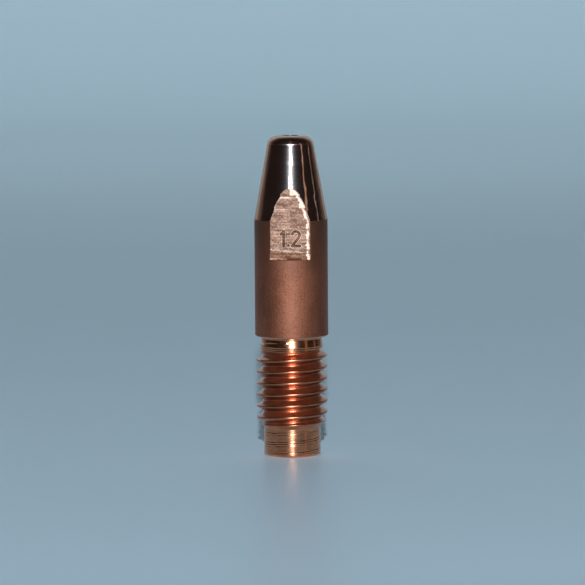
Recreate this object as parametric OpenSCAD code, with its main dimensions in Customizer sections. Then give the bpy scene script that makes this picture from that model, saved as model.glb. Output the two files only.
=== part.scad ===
// Gas-metal-arc welding contact tip: one turned copper piece with a tapered
// nose, two spanner flats, a coarse screw thread and a plain pilot end.
// Millimetres. The tip stands on its pilot end: +Z runs along the wire bore
// towards the nose, and the front spanner flat faces -Y.

/* [Pilot end] */
// Diameter of the plain pilot behind the thread
pilot_d = 6.2; // [5.6:0.02:6.2]
// Length of the plain pilot
pilot_l = 3.1; // [1.5:0.1:6]
// Chamfer on the edge of the pilot's end face
pilot_chamfer = 0.2; // [0.05:0.05:0.4]

/* [Thread] */
// Diameter over the thread crests
thread_d = 7.76; // [7.6:0.02:7.9]
// Diameter at the bottom of the thread groove
root_d = 6.26; // [6.24:0.02:6.6]
// Distance from one crest to the next
thread_pitch = 1.25; // [1.2:0.01:1.5]
// Included angle of the groove
thread_angle = 60; // [55:1:60]
// Flat at the bottom of the groove
root_flat = 0.12; // [0.08:0.01:0.16]
// Length of the threaded part, from the pilot to the neck
thread_l = 7.9; // [5:0.1:14]
// Length of the lead-in chamfer on the thread's first turn
lead_in_l = 1; // [0.4:0.1:1.5]
// Where the groove ends, seen from above: 0 is the front flat's side, 90 the right
groove_end = -8; // [-90:1:90]

/* [Neck] */
// Diameter of the plain neck between the thread and the shoulder
neck_d = 6.8; // [6.64:0.02:7.2]
// Length of the neck
neck_l = 2.1; // [1.2:0.05:3]

/* [Barrel] */
// Diameter of the bar that the tip is turned from
body_d = 8; // [8:0.05:10]
// Length of the plain barrel, from the shoulder to the taper
barrel_l = 12.8; // [8:0.1:20]
// Chamfer on the edge of the shoulder
shoulder_chamfer = 0.12; // [0.04:0.02:0.2]

/* [Nose] */
// Length of the taper, from the barrel to the front face
taper_l = 9.1; // [6:0.1:14]
// Diameter that the taper would reach at the front face, before rounding
front_d = 4.74; // [4.4:0.02:6]
// Radius that rounds the taper into the front face
nose_round = 1.1; // [0.4:0.05:1.2]

/* [Spanner flats] */
// Distance across the two flats
across_flats = 6.75; // [6:0.05:7.4]
// How far the flats run down the barrel from the taper
flat_drop = 4.2; // [1:0.1:7]
// Radius in the corner at the lower end of a flat
flat_corner = 0.15; // [0.05:0.05:0.3]

/* [Wire bore] */
// Diameter of the wire bore
bore_d = 1.5; // [0.8:0.05:2]
// Chamfer where the bore leaves the front face
bore_chamfer = 0.08; // [0.04:0.02:0.2]
// Diameter of the lead-in cone at the pilot's end face
entry_d = 3.2; // [2.6:0.1:4.4]
// Included angle of the lead-in cone
entry_angle = 60; // [45:5:90]

/* [Hidden] */
$fn = 120;

// Heights of the steps, from the pilot's end face up
thread_z = pilot_l;
neck_z = thread_z + thread_l;
shoulder_z = neck_z + neck_l;
taper_z = shoulder_z + barrel_l;
tip_l = taper_z + taper_l;

// Nose: the round touches the taper and the front face
taper_angle = atan2((body_d - front_d) / 2, taper_l);
round_r = front_d / 2 + nose_round * (tan(taper_angle) - 1 / cos(taper_angle));
round_z = tip_l - nose_round;

// Bore mouths
entry_l = (entry_d - bore_d) / 2 / tan(entry_angle / 2);
over = 0.5;

// Thread groove: it enters below the lead-in and fades out in the neck
groove_segments = 36;
groove_r = root_d / 2;
cutter_r = thread_d / 2 + 0.1;
groove_top = shoulder_z - 0.53;
groove_bottom = thread_z - groove_half(cutter_r, groove_r) - 0.1;
groove_turns = (groove_top - groove_bottom) / thread_pitch;
groove_steps = ceil(groove_turns * groove_segments);
fade_turns = 0.5;
fade_rise = neck_d / 2 + 0.05 - groove_r;

function groove_half(r, bottom) = root_flat / 2 + (r - bottom) * tan(thread_angle / 2);

function groove_ring(i) =
    let (
        back = groove_turns * (1 - i / groove_steps),
        angle = groove_end - 90 - 360 * back,
        z = groove_top - thread_pitch * back,
        bottom = groove_r + fade_rise * max(0, 1 - back / fade_turns),
        out = groove_half(cutter_r, bottom),
        in = groove_half(bottom, bottom),
        c = cos(angle),
        s = sin(angle)
    )
    [
        [bottom * c, bottom * s, z - in],
        [cutter_r * c, cutter_r * s, z - out],
        [cutter_r * c, cutter_r * s, z + out],
        [bottom * c, bottom * s, z + in]
    ];

function groove_side(i, k) =
    let (a = 4 * i + k, b = 4 * i + (k + 1) % 4)
    [[b + 4, a + 4, a], [b, b + 4, a]];

module groove() {
    last = 4 * groove_steps;
    points = [for (i = [0 : groove_steps]) each groove_ring(i)];
    sides = [for (i = [0 : groove_steps - 1], k = [0 : 3]) each groove_side(i, k)];
    start = [[2, 1, 0], [3, 2, 0]];
    end = [[last, last + 1, last + 2], [last, last + 2, last + 3]];
    polyhedron(points, concat(start, sides, end), convexity = 10);
}

module blank_profile() {
    polygon([
        [0, 0],
        [pilot_d / 2 - pilot_chamfer, 0],
        [pilot_d / 2, pilot_chamfer],
        [pilot_d / 2, thread_z],
        [thread_d / 2, thread_z + lead_in_l],
        [thread_d / 2, neck_z],
        [neck_d / 2, neck_z + (thread_d - neck_d) / 2],
        [neck_d / 2, shoulder_z],
        [body_d / 2 - shoulder_chamfer, shoulder_z],
        [body_d / 2, shoulder_z + shoulder_chamfer],
        [body_d / 2, taper_z],
        [round_r + nose_round * cos(taper_angle), round_z + nose_round * sin(taper_angle)],
        [round_r, tip_l],
        [0, tip_l]
    ]);
    translate([round_r, round_z]) circle(nose_round);
}

// One flat's cutter, seen along the flat: its lower inner corner is rounded
module flat_profile() {
    flat_z = taper_z - flat_drop;
    depth = body_d / 2;
    difference() {
        translate([across_flats / 2, flat_z]) square([depth, tip_l]);
        translate([across_flats / 2, flat_z]) square(flat_corner);
    }
    translate([across_flats / 2 + flat_corner, flat_z + flat_corner]) circle(flat_corner);
}

module flats() {
    for (turn = [0, 180])
        rotate([0, 0, turn - 90])
            rotate([90, 0, 0])
                linear_extrude(body_d, center = true)
                    flat_profile();
}

module wire_bore() {
    translate([0, 0, -over]) cylinder(d = bore_d, h = tip_l + 2 * over);
    cylinder(d1 = entry_d, d2 = bore_d, h = entry_l);
    translate([0, 0, tip_l - bore_chamfer])
        cylinder(d1 = bore_d, d2 = bore_d + 2 * bore_chamfer, h = bore_chamfer);
}

module contact_tip() {
    color([0.72, 0.42, 0.3])
        difference() {
            rotate_extrude() blank_profile();
            flats();
            wire_bore();
            groove();
        }
}

contact_tip();
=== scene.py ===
"""Looks of a copper welding contact tip: one turned piece standing on its pilot end.

Lengths are worked out in millimetres and written to the mesh in metres. The angle phi is 0 at the
front flat (-Y) and grows towards +X.
"""

import math

import bpy
import numpy as np
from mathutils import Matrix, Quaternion, Vector


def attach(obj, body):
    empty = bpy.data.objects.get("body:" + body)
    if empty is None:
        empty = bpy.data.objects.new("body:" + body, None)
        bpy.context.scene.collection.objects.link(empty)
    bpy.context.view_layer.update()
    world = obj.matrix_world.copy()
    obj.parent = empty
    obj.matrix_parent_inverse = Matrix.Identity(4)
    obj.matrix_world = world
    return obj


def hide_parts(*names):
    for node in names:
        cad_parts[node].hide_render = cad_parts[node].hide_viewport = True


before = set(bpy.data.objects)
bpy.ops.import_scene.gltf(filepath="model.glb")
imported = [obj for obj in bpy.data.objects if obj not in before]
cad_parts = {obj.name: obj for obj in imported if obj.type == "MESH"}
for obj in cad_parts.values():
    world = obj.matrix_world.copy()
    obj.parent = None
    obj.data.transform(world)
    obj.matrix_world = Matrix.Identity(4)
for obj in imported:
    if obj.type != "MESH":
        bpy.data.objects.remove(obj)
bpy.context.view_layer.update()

# Pilot, thread and neck
PILOT_R, PILOT_TOP, PILOT_CHAMFER = 3.1, 3.1, 0.2
THREAD_R, ROOT_R, PITCH, ROOT_FLAT, FLANK = 3.88, 3.13, 1.25, 0.08, math.radians(33)
LEAD_IN, THREAD_TOP = 1.0, 11.0
NECK_R, SHOULDER, SHOULDER_CHAMFER = 3.4, 13.1, 0.12
CHAMFER_END = THREAD_TOP + THREAD_R - NECK_R
GROOVE_TOP, GROOVE_END = SHOULDER - 0.53, math.radians(-8)
FADE_TURNS, FADE_DEPTH, CREST_ROUND, BURR = 0.5, 0.06, 0.09, 0.035

# Tool lines: spacing and depth on the pilot and the neck, the neck's lands, the threading tool's trace
PILOT_LINE, PILOT_DEPTH = 0.125, 0.0034
NECK_LINE, NECK_DEPTH = 0.2, 0.002
NECK_RING, NECK_LAND, UPPER_SLOPE, LOWER_SLOPE = 0.2, 1.08, 0.15, 0.05
TRACE_RISE, TRACE_DEPTH = 0.33, 0.02

# Barrel, taper, nose and bore
BODY_R, TAPER, TIP = 4.0, 25.9, 35.0
FRONT_R, NOSE_ROUND = 2.37, 1.1
BORE_R, BORE_CHAMFER, ENTRY_R, ENTRY_L = 0.75, 0.08, 1.6, 1.472
MOUTH_WEAR, MOUTH_L = 0.1, 0.45
TAN_TAPER = (BODY_R - FRONT_R) / (TIP - TAPER)
TAPER_ANGLE = math.atan(TAN_TAPER)
ROUND_R = FRONT_R + NOSE_ROUND * (TAN_TAPER - 1 / math.cos(TAPER_ANGLE))
ROUND_Z = TIP - NOSE_ROUND

# Flats, from the ledge at their foot up: the worn dip, with painted shade along its foot and a painted
# # highlight line over it, and the steps between the cutter's passes
FLAT, FLAT_LOW, FLAT_CORNER = 3.375, 21.7, 0.05
DIP_FOOT, DIP_TOP, DIP_LINE = 21.9, 22.3, 22.62
LOW_STEP, HIGH_STEP, STEP_SLOPE = 27.3, 28.7, 0.03
APEX = TAPER + (BODY_R - FLAT) / TAN_TAPER

# Wire size on the front flat: the height of its foot, and a distance that is far from every stroke
MARK_FOOT, FAR = 23.2, 9.0

# Columns and rows of the mesh. A flat's columns keep a least angle at its apex and open out on the nose
LOWER_COLS, FRONT_COLS, BACK_COLS, SIDE_COLS = 120, 108, 16, 32
THREAD_STEP, NECK_STEP, NECK_ROWS = 0.039, 0.027, 60
LEAST_EDGE, NOSE_EDGE = math.radians(2), math.radians(24)

POLISHED, SATIN, MILLED, THREAD, TURNED = range(5)


# Shape

def smoothstep(low, high, x):
    """3t^2 - 2t^3 of t, the share of the way from low to high."""
    t = np.clip((x - low) / (high - low), 0, 1)
    return t * t * (3 - 2 * t)


def bell(x, width):
    """e to the power -(x / width)^2: 1 at 0, and next to nothing two widths away."""
    return np.exp(-((x / width) ** 2))


def soft_min(a, b, k):
    """The smaller of a and b, with the corner between them rounded over about k."""
    k = np.maximum(k, 1e-6)
    h = np.clip(0.5 + 0.5 * (b - a) / k, 0, 1)
    return b + (a - b) * h - k * h * (1 - h)


def tool_lines(z):
    """Depth of what turning leaves. On the pilot: close lines, a drifting sine wave along the axis.
    On the neck: a narrow ring under the shoulder and two lands below it, each with its face turned
    a little up, and shallow lines over all of it."""
    pilot = PILOT_DEPTH * (1 - np.sin(2 * math.pi * z / PILOT_LINE + np.sin(4 * z)))
    below = SHOULDER - z
    upper_land = UPPER_SLOPE * (NECK_LAND - below)
    lower_land = LOWER_SLOPE * (SHOULDER - CHAMFER_END - below)
    lands = np.where(below < NECK_LAND, upper_land, lower_land)
    neck = np.where(below < NECK_RING, 0, lands)
    neck = neck + NECK_DEPTH * (1 - np.sin(2 * math.pi * z / NECK_LINE))
    on_pilot = smoothstep(0.25, 0.35, z) * smoothstep(3.0, 2.85, z)
    on_neck = (z > CHAMFER_END) * smoothstep(SHOULDER - 0.02, SHOULDER - 0.06, z)
    return pilot * on_pilot + neck * on_neck


def from_groove(phi, z):
    """Axial distance from the nearest turn of the groove, and the turns left from there to the
    groove's end."""
    turn = np.mod(phi - GROOVE_END, 2 * math.pi) / (2 * math.pi)
    along = (z - GROOVE_TOP) / PITCH - turn
    nearest = np.round(along)
    return (along - nearest) * PITCH, -(nearest + turn)


def root_trace(phi, z):
    """1 on the pair of fine helical lines that the threading tool leaves where it runs in over the
    pilot."""
    off, _ = from_groove(phi, z - TRACE_RISE)
    pair = bell(np.abs(off) - 0.12, 0.04)
    return pair * smoothstep(0.35, 0.6, z) * smoothstep(2.85, 2.7, z)


def thread_radius(phi, z):
    """Radius of the lower blank cut by the helical V groove: a narrow bottom and straight flanks. The
    groove fades out in the neck and leaves a small burr where it ends."""
    corners_z = [0, PILOT_TOP, PILOT_TOP + LEAD_IN, THREAD_TOP, CHAMFER_END, SHOULDER]
    corners_r = [PILOT_R, PILOT_R, THREAD_R, THREAD_R, NECK_R, NECK_R]
    blank = np.interp(z, corners_z, corners_r)
    off, left = from_groove(phi, z)
    bottom = ROOT_R + (NECK_R - FADE_DEPTH - ROOT_R) * np.clip(1 - left / FADE_TURNS, 0, 1)
    flank = np.maximum(np.abs(off) - ROOT_FLAT / 2, 0) / math.tan(FLANK)
    groove = np.where(left < 0, blank + 1, bottom + flank)
    rounding = CREST_ROUND * smoothstep(CHAMFER_END, THREAD_TOP, z)
    cut = soft_min(blank - tool_lines(z), groove, rounding)
    burr = BURR * bell(phi - GROOVE_END + 0.03, 0.045) * bell(z - GROOVE_TOP + 0.03, 0.09)
    return cut + burr - TRACE_DEPTH * root_trace(phi, z)


def blank_radius(z):
    """Radius of the upper blank: chamfered shoulder, barrel and taper."""
    straight = np.where(z < TAPER, BODY_R, BODY_R - (z - TAPER) * TAN_TAPER)
    return np.minimum(straight, BODY_R - SHOULDER_CHAMFER + np.maximum(z - SHOULDER, 0))


def flat_distance(z):
    """Distance of a flat from the axis: three passes of the cutter, the upper two each a little deeper
    at their lower edge, a shallow dip above the ledge and the cutter's corner radius."""
    in_second = smoothstep(LOW_STEP - STEP_SLOPE, LOW_STEP + STEP_SLOPE, z)
    in_third = smoothstep(HIGH_STEP - STEP_SLOPE, HIGH_STEP + STEP_SLOPE, z)
    second = 0.06 * in_second * np.clip((HIGH_STEP - z) / (HIGH_STEP - LOW_STEP), 0, 1)
    third = in_third * (0.015 + 0.03 * np.clip((APEX - z) / 0.7, 0, 1))
    dip = 0.03 * smoothstep(DIP_TOP + 0.12, DIP_TOP, z)
    low = np.clip(FLAT_CORNER - (z - FLAT_LOW), 0, FLAT_CORNER)
    return FLAT - second - third - dip + FLAT_CORNER - np.sqrt(FLAT_CORNER**2 - low**2)


def stroke_distance(x, z, strokes):
    """Distance from each point to the nearest of some straight strokes."""
    best = np.full(x.shape, FAR)
    for x0, z0, x1, z1 in strokes:
        dx, dz = x1 - x0, z1 - z0
        t = np.clip(((x - x0) * dx + (z - z0) * dz) / max(dx * dx + dz * dz, 1e-9), 0, 1)
        best = np.minimum(best, np.hypot(x - x0 - t * dx, z - z0 - t * dz))
    return best


def size_mark(x, z):
    """Distance from the strokes of the wire size, 1.2, that is stamped in the front flat."""
    bend = np.radians(np.linspace(165, -42, 9))
    curl_x, curl_z = 0.62 + 0.4 * np.cos(bend), 1.2 + 0.4 * np.sin(bend)
    one = [(-0.72, 0, -0.72, 1.6), (-0.72, 1.6, -1.02, 1.28)]
    point = [(-0.2, 0.04, -0.2, 0.05)]
    two = list(zip(curl_x[:-1], curl_z[:-1], curl_x[1:], curl_z[1:]))
    two += [(curl_x[-1], curl_z[-1], 0.2, 0), (0.2, 0, 1.04, 0)]
    return stroke_distance(x, z - MARK_FOOT, one + point + two)


def flat_painted_shading(x, z, half):
    """Painted highlights and painted shade on a flat. Painted highlights: a wavy band along the right edge
    that widens in each pass of the cutter, lines under each step, over the dip and along its foot, and
    faintly the left edge. Painted shade: the dip above the ledge, most of all along its foot."""
    edge = half - x
    wave = 0.08 * np.sin(6 * z) + 0.06 * np.sin(17 * z + 1)
    near = np.where(z > LOW_STEP, 0.06, 0.14 + 0.06 * np.sin(5 * z + 2))
    second = 0.75 - 0.45 * (z - LOW_STEP) / (HIGH_STEP - LOW_STEP) + wave
    width = 0.42 + wave + 0.1 * smoothstep(26.2, LOW_STEP, z)
    width = np.where(z > LOW_STEP, second, width)
    width = np.where(z > HIGH_STEP, half + 0.08, width)
    band = smoothstep(width, width - 0.1, edge) * smoothstep(near - 0.05, near + 0.05, edge)

    over_dip = z - DIP_LINE + 0.11 * x + 0.03 * np.sin(6 * x) + 0.02 * np.sin(17 * x + 1)
    lines = 0.6 * bell(over_dip, 0.09) * smoothstep(1.5, 0.9, x)
    lines += 1.1 * bell(z - HIGH_STEP + 0.24, 0.1) * smoothstep(0.3, -0.3, x)
    lines += 0.55 * bell(z - LOW_STEP + 0.12, 0.1) * smoothstep(0.5, -0.5, x)
    lines += 0.9 * smoothstep(DIP_FOOT + 0.03, DIP_FOOT - 0.02, z) * smoothstep(-0.3, -0.6, x)

    foot = smoothstep(DIP_FOOT + 0.08, DIP_FOOT, z)
    foot = foot * smoothstep(-0.5, -0.3, x) * smoothstep(1.4, 1.1, x)
    dark = smoothstep(-0.1, -0.2, over_dip) + 0.8 * foot
    band *= 1 + 0.6 * smoothstep(DIP_TOP + 0.5, DIP_TOP, z)
    left_edge = 0.15 * smoothstep(0.22, 0.1, half + x)
    return np.maximum(band, lines) + left_edge - dark * np.maximum(1 - band, 0)


def ring_strip(a, b, first_a, first_b):
    """Triangles between two rings with different numbers of points: each edge takes the other ring's
    point beside it."""
    na, nb = len(a), len(b)
    mid_a = a + np.diff(np.append(a, a[0] + 2 * math.pi)) / 2
    mid_b = b + np.diff(np.append(b, b[0] + 2 * math.pi)) / 2
    ia, ib = np.arange(na), np.arange(nb)
    beside_a = np.searchsorted(mid_b, mid_a) % nb
    beside_b = np.searchsorted(mid_a, mid_b) % na
    up = np.stack([first_a + ia, first_a + (ia + 1) % na, first_b + beside_a], -1)
    down = np.stack([first_a + beside_b, first_b + (ib + 1) % nb, first_b + ib], -1)
    return np.concatenate([up, down])


def grid_faces(rows, cols, first):
    """Quads of a grid of points that closes on itself across its columns."""
    i, j = np.meshgrid(np.arange(rows - 1), np.arange(cols), indexing="ij")
    k = (j + 1) % cols
    quads = np.stack([i * cols + j, i * cols + k, (i + 1) * cols + k, (i + 1) * cols + j], -1)
    return first + quads.reshape(-1, 4)


def lower_half():
    """Lower grid: lead-in cone, end face, chamfer, pilot, thread and neck. The columns are closer at
    the front, by a sine taken from even steps."""
    phi = -math.pi + 2 * math.pi * np.arange(LOWER_COLS) / LOWER_COLS
    phi = phi - 0.45 * np.sin(phi)
    entry_r = np.array([BORE_R, BORE_R + 0.03, ENTRY_R - 0.03, ENTRY_R])
    entry_z = ENTRY_L * (ENTRY_R - entry_r) / (ENTRY_R - BORE_R)
    rim = PILOT_R - PILOT_CHAMFER
    face_r = np.array([ENTRY_R + 0.03, ENTRY_R + 0.08, 2.2, rim - 0.05, rim])
    edge = np.array([0.03, 0.1, 0.17])
    side_z = np.concatenate([
        [PILOT_CHAMFER, 0.24],
        np.arange(0.28, 3.0, PILOT_LINE / 6),
        np.arange(3.0, CHAMFER_END, THREAD_STEP),
        SHOULDER - np.arange(NECK_ROWS, -1, -1) * NECK_STEP,
    ])
    r = np.concatenate([entry_r, face_r, rim + edge, 0 * side_z])
    z = np.concatenate([entry_z, 0 * face_r, edge, side_z])
    start = len(r) - len(side_z)
    phi = np.broadcast_to(phi, (len(r), LOWER_COLS))
    r, z = (np.repeat(row[:, None], LOWER_COLS, 1) for row in (r, z))
    r[start:] = thread_radius(phi[start:], z[start:])
    # Painted shade in the threading tool's traces.
    painted_shading = -root_trace(phi, z)
    painted_shading[:start] = 0
    height = z[:-1]
    threaded = (height > PILOT_TOP - 0.02) & (height < CHAMFER_END + 0.1)
    threaded[:start] = False
    return r, z, phi, painted_shading, np.where(threaded, THREAD, TURNED)


def upper_rows():
    """Heights and uncut radii of the upper grid's rows. They are closest at the foot, the steps and the
    top of a flat, and over the wire size."""
    body = np.concatenate([
        SHOULDER + np.array([0, 0.03, SHOULDER_CHAMFER, 0.15, 0.3]),
        np.linspace(14, 21.4, 8),
        FLAT_LOW - np.array([0.15, 0.08, 0.05, 0.03, 0.016, 0.014, 0.003]),
        FLAT_LOW + np.array([0.004, 0.03, 0.06, 0.1, 0.15, 0.22]),
        np.arange(22.0, 22.5, 0.06),
        np.arange(22.6, 22.95, 0.1),
        np.arange(23.0, 25.04, 0.04),
        np.arange(25.12, TAPER - 0.05, 0.1),
        TAPER + np.array([-0.03, 0, 0.03]),
        np.arange(TAPER + 0.1, LOW_STEP - 0.1, 0.09),
        np.arange(LOW_STEP - 0.06, LOW_STEP + 0.07, 0.025),
        np.arange(LOW_STEP + 0.12, HIGH_STEP - 0.1, 0.09),
        np.arange(HIGH_STEP - 0.05, HIGH_STEP + 0.06, 0.022),
        np.arange(HIGH_STEP + 0.12, APEX - 0.22, 0.06),
        np.arange(APEX - 0.2, APEX + 0.1, 0.02),
        np.linspace(APEX + 0.15, 33.8, 18),
        [33.95, 34.05],
    ])
    turn = np.linspace(TAPER_ANGLE, math.pi / 2, 16)
    round_r, round_z = ROUND_R + NOSE_ROUND * np.cos(turn), ROUND_Z + NOSE_ROUND * np.sin(turn)
    mouth = BORE_R + BORE_CHAMFER + MOUTH_WEAR
    down = np.array([0, 0.012, 0.02, 0.3])
    flare = mouth - 0.2 * down
    face_r = np.concatenate([[ROUND_R - 0.06, 1.2, mouth + 0.015], flare, [BORE_R, BORE_R]])
    face_z = TIP - np.concatenate([[0, 0, 0], down, [MOUTH_L, MOUTH_L + 0.05]])
    z = np.concatenate([body, round_z, face_z])
    return z, np.concatenate([blank_radius(body), round_r, face_r])


def upper_columns(edge):
    """Angles of the upper grid's columns, and which of them lie on a flat. They follow the edges of the
    two flats, so that each edge is one clean line: across a flat they are even in width, and between
    the flats even in angle."""
    slope = np.tan(edge)
    front = np.unique(np.append(np.linspace(-1, 1, FRONT_COLS), [-0.992, 0.992]))
    back = np.linspace(0, 1, BACK_COLS)
    share = np.concatenate([[0.006], np.linspace(0.025, 0.975, SIDE_COLS), [0.994]])
    side = edge + (math.pi - 2 * edge) * share
    parts = [
        -math.pi + np.arctan(back * slope),
        -math.pi + side,
        np.arctan(front * slope),
        side,
        math.pi - np.arctan(back[:0:-1] * slope),
    ]
    on_flat = [np.full(part.shape[1], i % 2 == 0) for i, part in enumerate(parts)]
    return np.concatenate(parts, 1), np.concatenate(on_flat)


def upper_half():
    """Upper grid: shoulder, barrel, taper, nose and the bore's mouth, with the two flats and the wire
    size cut into it. A flat's half width is the angle whose cosine is its distance over the radius."""
    z, plain = upper_rows()
    cut = (z > FLAT_LOW) & (z < APEX + 0.05)
    distance = flat_distance(z)
    edge = np.where(cut, distance, FLAT) / np.where(cut, plain, BODY_R)
    edge = np.maximum(np.arccos(np.clip(edge, -1, 1)), LEAST_EDGE)
    above = LEAST_EDGE + NOSE_EDGE * smoothstep(APEX, 32.5, z)
    edge = np.where(z > APEX - 0.02, above, edge)[:, None]
    phi, on_flat = upper_columns(edge)
    z, plain = (np.broadcast_to(row[:, None], phi.shape) for row in (z, plain))
    cut, distance = cut[:, None], distance[:, None]

    x, half = np.tan(phi) * FLAT, FLAT * np.tan(edge)
    mark = np.where(np.abs(phi) < math.pi / 2, size_mark(x, z), FAR)
    stamp = 0.1 * (1 - smoothstep(0.02, 0.15, mark)) - 0.014 * bell(mark - 0.19, 0.05)
    roll = 0.03 * smoothstep(0.4, 0, half - np.abs(x))
    level = (distance - roll - stamp) / np.maximum(np.abs(np.cos(phi)), 0.3)
    inside = on_flat & (np.abs(x) <= half * 0.999)
    ledge = np.interp(z - FLAT_LOW, [-0.05, -0.016, -0.002], [0, 0.05, 0.93])
    share = np.where(cut, 1, ledge) * (z < APEX + 0.05)
    r = np.where(inside, plain - share * np.maximum(plain - level, 0), plain)

    # Painted shading: highlights and shade on the flats, and painted shade in the stamped strokes with a
    # painted highlight round them.
    painted_shading = flat_painted_shading(x, z, half) - 1.2 * (1 - smoothstep(0.04, 0.13, mark))
    painted_shading = np.where(inside & cut, painted_shading, 0) + 0.7 * bell(mark - 0.18, 0.04)
    # Painted highlight on the shoulder's chamfer.
    painted_shading = painted_shading + 0.5 * (z < SHOULDER + SHOULDER_CHAMFER + 0.01)

    height = z[:-1]
    milled = on_flat & np.roll(on_flat, -1) & (height > FLAT_LOW - 0.02) & (height < APEX - 0.02)
    finish = np.where(milled, MILLED, np.where(height < TAPER, SATIN, POLISHED))
    finish = np.where(height < SHOULDER + SHOULDER_CHAMFER - 0.01, TURNED, finish)
    return r, z, phi, painted_shading, finish


def tip_mesh():
    """One closed surface: the lower and upper grids, joined by a ring at the shoulder and by the wall of
    the bore."""
    r1, z1, phi1, painted_shading_low, finish1 = lower_half()
    r2, z2, phi2, painted_shading_high, finish2 = upper_half()
    pairs = (r1, r2), (z1, z2), (phi1, phi2), (painted_shading_low, painted_shading_high)
    r, z, phi, painted_shading = (np.concatenate([low.ravel(), high.ravel()]) for low, high in pairs)
    points = np.stack([r * np.sin(phi), -r * np.cos(phi), z], -1)
    first = r1.size
    quads = np.concatenate([grid_faces(*r1.shape, 0), grid_faces(*r2.shape, first)])
    shoulder = ring_strip(phi1[-1], phi2[0], first - r1.shape[1], first)
    bore = ring_strip(phi2[-1], phi1[0], first + r2.size - r2.shape[1], 0)
    strips = np.concatenate([shoulder, bore])
    finish = np.concatenate([
        finish1.ravel(), finish2.ravel(), np.full(len(shoulder), TURNED), np.full(len(bore), SATIN),
    ])

    mesh = bpy.data.meshes.new("contact_tip_skin")
    loops = np.concatenate([quads.ravel(), strips.ravel()])
    counts = np.repeat([4, 3], [len(quads), len(strips)])
    mesh.vertices.add(len(points))
    mesh.vertices.foreach_set("co", (points / 1000).astype(np.float32).ravel())
    mesh.loops.add(len(loops))
    mesh.loops.foreach_set("vertex_index", loops.astype(np.int32))
    mesh.polygons.add(len(counts))
    mesh.polygons.foreach_set("loop_start", (np.cumsum(counts) - counts).astype(np.int32))
    mesh.polygons.foreach_set("material_index", finish.astype(np.int32))
    mesh.polygons.foreach_set("use_smooth", np.ones(len(counts), bool))
    # The painted highlights and painted shade, kept on the mesh for the finishes.
    shading_attribute = mesh.attributes.new("painted_shading", "FLOAT", "POINT")
    shading_attribute.data.foreach_set("value", painted_shading.astype(np.float32))
    mesh.update()
    mesh.validate()
    return mesh


# Finishes

class Value:
    """A socket in a graph of nodes. Operators on it add Math nodes."""

    def __init__(self, graph, socket):
        self.graph, self.socket = graph, socket

    def math(self, operation, *values):
        return self.graph.add("ShaderNodeMath", {"operation": operation}, *values)

    def __add__(self, other):
        return self.math("ADD", self, other)

    def __sub__(self, other):
        return self.math("SUBTRACT", self, other)

    def __rsub__(self, other):
        return self.math("SUBTRACT", other, self)

    def __mul__(self, other):
        return self.math("MULTIPLY", self, other)

    __radd__, __rmul__ = __add__, __mul__

    def between(self, low, high):
        """0 at low, 1 at high, smooth between."""
        smooth = {"interpolation_type": "SMOOTHSTEP"}
        return self.graph.add("ShaderNodeMapRange", smooth, self, low, high, 0.0, 1.0)


class Graph:
    """The nodes of a finish or of the world."""

    def __init__(self, tree):
        self.nodes, self.links = tree.nodes, tree.links

    def add(self, kind, settings, *values, out=0, **named):
        """Adds a node: its type, its settings, then its sockets by place or by name. None leaves a
        socket alone."""
        node = self.nodes.new(kind)
        for key, value in settings.items():
            setattr(node, key, value)
        for key, value in [*enumerate(values), *named.items()]:
            self.feed(node.inputs[key], value)
        return Value(self, node.outputs[out])

    def feed(self, socket, value):
        if isinstance(value, Value):
            self.links.new(value.socket, socket)
        elif value is not None:
            socket.default_value = (*value, 1) if socket.type == "RGBA" else value

    def mix(self, share, a, b):
        """A colour that goes from a to b with share."""
        return self.add("ShaderNodeMix", {"data_type": "RGBA"}, share, *[None] * 5, a, b, out=2)


class Finish(Graph):
    """A surface finish: one Principled shader and what varies it, on Object coordinates in millimetres."""

    def __init__(self, name):
        self.material = bpy.data.materials.new(name)
        self.material.use_nodes = True
        super().__init__(self.material.node_tree)
        self.nodes.clear()
        self.shader = self.nodes.new("ShaderNodeBsdfPrincipled")
        output = self.nodes.new("ShaderNodeOutputMaterial")
        self.links.new(self.shader.outputs[0], output.inputs[0])
        place = self.add("ShaderNodeTexCoord", {}, out="Object")
        self.mm = self.add("ShaderNodeVectorMath", {"operation": "SCALE"}, place, Scale=1000.0)
        self.y, self.z = (self.add("ShaderNodeSeparateXYZ", {}, self.mm, out=axis) for axis in "YZ")

    def noise(self, scale, detail=2.0, stretch=(1, 1, 1), roughness=0.5):
        """Noise of that many cells a millimetre, with more of them along an axis that is stretched."""
        place = self.add("ShaderNodeVectorMath", {"operation": "MULTIPLY"}, self.mm, stretch)
        return self.add("ShaderNodeTexNoise", {}, place, Scale=scale, Detail=detail, Roughness=roughness)

    def painted_shading(self):
        """The mesh's painted shading: above 0 for a painted highlight, below 0 for painted shade."""
        return self.add("ShaderNodeAttribute", {"attribute_name": "painted_shading"}, out="Fac")

    def bump(self, height, distance):
        """A normal from a height, where 1 stands that many millimetres high."""
        return self.add("ShaderNodeBump", {}, Distance=distance / 1000, Height=height)

    def set(self, **sockets):
        """Feeds the shader's sockets by name and gives back the material."""
        for key, value in sockets.items():
            self.feed(self.shader.inputs[key.replace("_", " ")], value)
        return self.material


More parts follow.
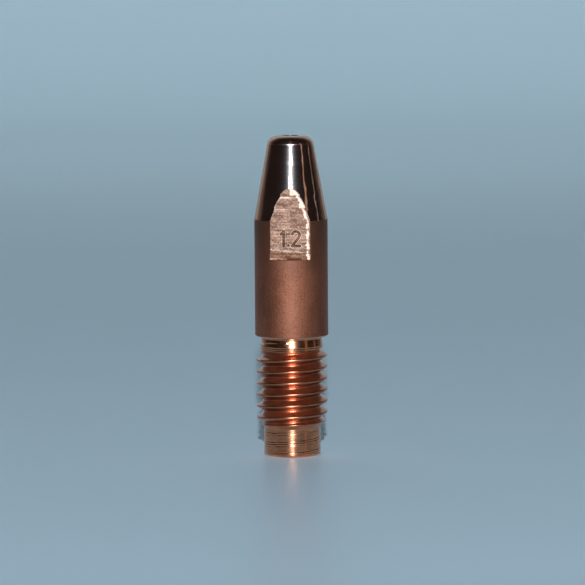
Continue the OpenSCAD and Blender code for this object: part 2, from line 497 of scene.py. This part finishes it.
def polished_taper():
    """Polished copper: nearly a mirror, slightly wavy, with rougher rings round the axis and one where
    the round begins."""
    f = Finish("polished_taper")
    deep, pale = (0.6, 0.39, 0.31), (0.7, 0.47, 0.38)
    rings = f.noise(1.0, 3.0, (0.25, 0.25, 9.0), 0.6)
    wave = f.noise(0.8, 1.0, (1.2, 1.2, 0.8))
    cloud = f.noise(0.5, 3.0)
    round_ring = f.z.between(34.08, 34.12) * (1 - f.z.between(34.16, 34.2))
    rough = 0.052 + 0.03 * cloud + 0.05 * rings.between(0.5, 0.75) + 0.2 * round_ring
    return f.set(
        Base_Color=f.mix(cloud.between(0.35, 0.7), deep, pale), Metallic=1.0, Roughness=rough,
        Normal=f.bump(wave + 0.07 * rings, 0.04), Specular_Tint=(0.85, 0.6, 0.42),
        Coat_Weight=0.7 + 0.3 * rings.between(0.35, 0.65), Coat_Roughness=0.31,
    )


def satin_barrel():
    """Drawn copper bar: dull sheen with a fine grain, brown tarnish in clouds, faint lines along the bar
    and painted shade that darkens it towards the nose."""
    f = Finish("satin_barrel")
    deep, pale = (0.215, 0.068, 0.031), (0.35, 0.127, 0.066)
    # Painted shade: darker colours towards the nose.
    nose_shade_deep, nose_shade_pale = (0.092, 0.029, 0.013), (0.205, 0.077, 0.042)
    nose_shade_from, nose_shade_to = 17.0, 28.0
    drawn = f.noise(1.0, 3.0, (6.0, 6.0, 0.3), 0.6)
    cloud = f.noise(0.45, 4.0, (1, 1, 0.6))
    grain = f.noise(7.0, 3.0, (1, 1, 0.8), 0.7)
    colour = f.mix((0.45 * cloud + 0.55 * grain).between(0.36, 0.64), deep, pale)
    colour = f.mix(f.z.between(nose_shade_from, nose_shade_to), colour, f.mix(grain, nose_shade_deep, nose_shade_pale))
    return f.set(
        Base_Color=colour, Metallic=1.0, Roughness=0.53 + 0.1 * cloud + 0.06 * grain,
        Normal=f.bump(grain + 0.4 * drawn, 0.038), Coat_Weight=0.45, Coat_Roughness=0.48,
    )


def milled_flat():
    """Spanner flat: grainy cut copper with lines across it, a painted highlight along one edge and painted
    shade above the ledge and in the stamped strokes."""
    f = Finish("milled_flat")
    deep, pale = (0.188, 0.1, 0.063), (0.615, 0.388, 0.287)
    # Painted shade above the ledge and in the stamped strokes, and a painted highlight for the bright edge
    # and lines.
    shade_deep, shade_pale = (0.16, 0.07, 0.037), (0.47, 0.26, 0.167)
    stroke_shade, painted_highlight = (0.12, 0.05, 0.032), (0.79, 0.6, 0.48)
    grain = f.noise(5.0, 3.0, (1, 1, 1), 0.65)
    lines = f.noise(1.0, 3.0, (0.5, 1, 8.0), 0.6)
    patch = f.noise(1.2, 3.0, (0.8, 1, 1.4))
    painted_shading = f.painted_shading()
    # Painted highlight where the painted shading is above 0; painted shade where it is below 0.
    bright = (painted_shading * (0.2 + 1.3 * patch) + 0.7 * grain.between(0.62, 0.75)).between(0.0, 1.0)
    mottle = (0.4 * grain + 0.3 * lines + 0.3 * patch).between(0.4, 0.64)
    colour = f.mix(mottle, deep, pale)
    colour = f.mix((0 - painted_shading).between(0.0, 0.9), colour, f.mix(mottle, shade_deep, shade_pale))
    # Painted shade in the stamped strokes.
    colour = f.mix((0 - painted_shading).between(1.0, 1.9), colour, stroke_shade)
    return f.set(
        Base_Color=f.mix(bright, colour, painted_highlight), Metallic=1.0,
        Roughness=0.62 + 0.1 * grain - 0.1 * bright, Normal=f.bump(grain + lines, 0.03),
    )


def cut_thread():
    """Bright cut copper of the thread under a film of oil, with drag lines along the groove."""
    f = Finish("cut_thread")
    deep, pale = (0.46, 0.16, 0.077), (0.6, 0.23, 0.12)
    drag = f.noise(1.0, 2.0, (0.7, 0.7, 20.0), 0.6)
    cloud = f.noise(0.8, 3.0)
    return f.set(
        Base_Color=f.mix(cloud.between(0.3, 0.7), deep, pale), Metallic=1.0,
        Roughness=0.26 + 0.08 * cloud, Normal=f.bump(drag, 0.006),
        Coat_Weight=0.55, Coat_Roughness=0.28,
    )


def turned_end():
    """Turned copper of the pilot, neck and faces: close tool lines round the axis, painted shade in the
    tool's traces and a painted highlight on edges."""
    f = Finish("turned_end")
    deep, pale = (0.6, 0.215, 0.095), (0.84, 0.335, 0.165)
    # Painted shade in the tool's traces and a painted highlight on edges.
    trace_shade, painted_highlight = (0.12, 0.045, 0.025), (0.9, 0.66, 0.54)
    lines = f.noise(1.0, 3.0, (0.4, 0.4, 10.0), 0.65)
    cloud = f.noise(0.7, 3.0)
    painted_shading = f.painted_shading()
    colour = f.mix((0.5 * lines + 0.5 * cloud).between(0.35, 0.65), deep, pale)
    colour = f.mix((0 - painted_shading).between(0.1, 1.3), colour, trace_shade)
    return f.set(
        Base_Color=f.mix(painted_shading.between(0.0, 1.0), colour, painted_highlight), Metallic=1.0,
        Roughness=0.13 + 0.1 * cloud, Normal=f.bump(lines, 0.003),
        Coat_Weight=0.45, Coat_Roughness=0.28,
    )


tip = bpy.data.objects.new("contact_tip_skin", tip_mesh())
bpy.context.scene.collection.objects.link(tip)
for finish in (polished_taper, satin_barrel, milled_flat, cut_thread, turned_end):
    tip.data.materials.append(finish())
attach(tip, "root")
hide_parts("contact_tip")


# Paper sweep, in metres

FLOOR_R, BEND_R, WALL_TOP = 0.6, 0.25, 0.7
WALL_R = FLOOR_R + BEND_R


def sweep_mesh():
    """A sheet of paper: a flat disc that curves up into a wall behind the tip, as a profile turned about
    the axis. The wall's height goes from nothing at the sides to full at the back."""
    turn = np.radians(np.linspace(-180, 180, 97))[:, None]
    bend = np.linspace(0.1, math.pi / 2, 16)
    flat = np.linspace(0, FLOOR_R, 13)
    run = np.concatenate([flat, FLOOR_R + BEND_R * np.sin(bend), [WALL_R, WALL_R]])
    rise = np.concatenate([0 * flat, BEND_R - BEND_R * np.cos(bend), [0.4, WALL_TOP]])
    wall = smoothstep(0.88, 0.99, (1 - np.cos(turn)) / 2)
    x, y, z = run * np.sin(turn), -run * np.cos(turn), rise * wall
    rows, cols = x.shape
    i, j = np.meshgrid(np.arange(rows - 1), np.arange(cols - 1), indexing="ij")
    corner = i * cols + j
    quads = np.stack([corner, corner + 1, corner + cols + 1, corner + cols], -1).reshape(-1, 4)
    mesh = bpy.data.meshes.new("paper_sweep")
    mesh.from_pydata(np.stack([x, y, z], -1).reshape(-1, 3).tolist(), [], quads.tolist())
    mesh.polygons.foreach_set("use_smooth", np.ones(len(quads), bool))
    mesh.update()
    return mesh


def paper():
    """Pale blue-grey paper with a slight gloss, going over to painted shade, a dark brown, on the camera's
    side.
    """
    f = Finish("paper")
    # Painted shade on the camera's side, in a dark brown.
    camera_side_shade, deep, pale = (0.2, 0.145, 0.115), (0.57, 0.757, 0.85), (0.59, 0.772, 0.87)
    blue = f.mix(f.noise(0.02, 2.0), deep, pale)
    colour = f.mix(f.y.between(-140.0, -70.0), camera_side_shade, blue)
    return f.set(Base_Color=colour, Roughness=0.42, Specular_IOR_Level=0.14)


sweep = bpy.data.objects.new("paper_sweep", sweep_mesh())
bpy.context.scene.collection.objects.link(sweep)
sweep.data.materials.append(paper())


# Light and camera, in metres and degrees

MIDDLE, WALL_FOOT = Vector((0, 0, 0.0175)), Vector((0, 0.75, 0.03))
LOOK_AT = Vector((0.00012, 0, 0.01781))
CAMERA_FAR, CAMERA_AZIMUTH, CAMERA_ELEVATION, CAMERA_ROLL = 0.4044, 1.5, 5.95, -0.39
SENSOR, FOCAL_PIXELS, FRAME_PIXELS = 36, 3700, 585


def around(target, far, azimuth, elevation):
    """The point that far from target: azimuth 0 is the front and 90 the right."""
    a, e = math.radians(azimuth), math.radians(elevation)
    return target + far * Vector((math.sin(a) * math.cos(e), -math.cos(a) * math.cos(e), math.sin(e)))


def aim(obj, place, target, roll=0.0):
    """Sets a lamp or the camera at a place so that it looks at target."""
    obj.location = place
    obj.rotation_mode = "QUATERNION"
    turn = (place - target).to_track_quat("Z", "Y")
    obj.rotation_quaternion = turn @ Quaternion((0, 0, 1), math.radians(roll))
    bpy.context.scene.collection.objects.link(obj)


def panel(name, place, target, size, level, colour):
    """A soft rectangular lamp. Level is its own brightness, where 1 shows as white."""
    lamp = bpy.data.lights.new(name, "AREA")
    lamp.shape = "RECTANGLE"
    lamp.size, lamp.size_y = size
    lamp.energy = level * math.pi * size[0] * size[1]
    lamp.color = colour
    aim(bpy.data.objects.new(name, lamp), place, target)


def room():
    """Light of the room by direction: dark on the camera's side, brown at the sides, pale behind the
    tip."""
    dark, brown, pale = (0.018, 0.013, 0.011), (0.18, 0.15, 0.14), (0.7, 0.8, 0.86)
    world = bpy.data.worlds.new("room")
    bpy.context.scene.world = world
    world.use_nodes = True
    g = Graph(world.node_tree)
    way = g.add("ShaderNodeTexCoord", {}, out="Generated")
    dot = {"operation": "DOT_PRODUCT"}
    back = g.add("ShaderNodeVectorMath", dot, way, (-0.08, 1, 0.19), out="Value")
    colour = g.mix(back.between(0.3, 0.8), dark, brown)
    g.feed(g.nodes["Background"].inputs[0], g.mix(back.between(0.66, 1.0), colour, pale))


panel("front_lamp", around(MIDDLE, 1.0, 1.6, 17), MIDDLE, (0.016, 0.044), 5011.0, (0.91, 0.985, 1.08))
panel("wall_lamp", around(MIDDLE, 0.62, 180, 38.5), WALL_FOOT, (0.7, 0.25), 1.23, (1, 0.98, 0.96))
panel("right_strip", around(MIDDLE, 0.5, 58, 14), MIDDLE, (0.045, 0.3), 0.56, (1, 0.75, 0.62))
panel("tall_strip", around(MIDDLE, 1.0, 1.6, 48), MIDDLE, (0.07, 0.75), 0.14, (1, 1, 1))
panel("far_right_strip", around(MIDDLE, 0.5, 97, 14), MIDDLE, (0.012, 0.3), 0.8, (1, 0.95, 0.9))
room()

lens = bpy.data.cameras.new("camera")
lens.sensor_width, lens.sensor_fit = SENSOR, "HORIZONTAL"
lens.lens, lens.clip_start = SENSOR * FOCAL_PIXELS / FRAME_PIXELS, 0.01
camera = bpy.data.objects.new("camera", lens)
aim(camera, around(LOOK_AT, CAMERA_FAR, CAMERA_AZIMUTH, CAMERA_ELEVATION), LOOK_AT, CAMERA_ROLL)
bpy.context.scene.camera = camera
bpy.context.scene.view_settings.view_transform = "Standard"
